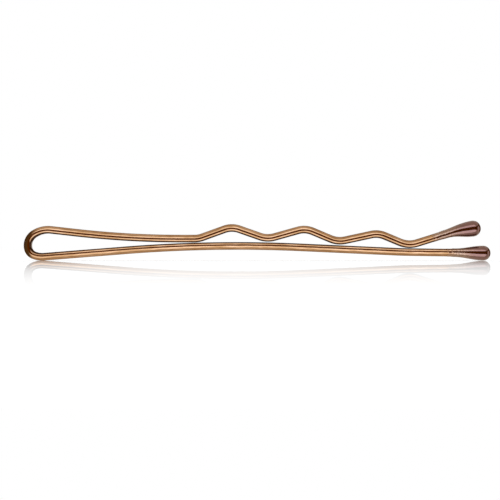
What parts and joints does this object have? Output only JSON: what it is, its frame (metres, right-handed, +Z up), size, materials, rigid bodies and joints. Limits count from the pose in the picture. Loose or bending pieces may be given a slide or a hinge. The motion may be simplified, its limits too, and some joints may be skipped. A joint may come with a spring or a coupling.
{
  "type": "bobby pin",
  "caption": "Crimped bobby pin of flattened spring wire: a straight leg and a wavy leg joined by a narrow rounded loop, with a smooth resin ball on each end.",
  "frame": {"origin": "on the surface that the pin stands on, on its mirror plane, below the middle of its length", "axes": "+X from the nose of the loop towards the tips, +Y across the width of the wire, +Z up from the straight leg to the crimped leg"},
  "size_m": [0.05, 0.0018, 0.0042],
  "materials": {
    "lacquered_wire": "glossy bronze metallic lacquer over rolled spring wire",
    "tip_resin": "glossy mauve brown dipped resin"
  },
  "bodies": {
    "straight_side": {"straight_leg": "lacquered_wire", "straight_leg_tip": "tip_resin"},
    "crimped_side": {"crimped_leg": "lacquered_wire", "crimped_leg_tip": "tip_resin"}
  },
  "joints": [
    {"name": "leg_opening", "type": "hinge", "parent": "straight_side", "child": "crimped_side", "pos_m": [-0.025, 0, 0.00159], "axis": [0, -1, 0], "range_deg": [0, 12], "stiffness_Nm_per_rad": 0.3, "springref_deg": -4.01}
  ]
}
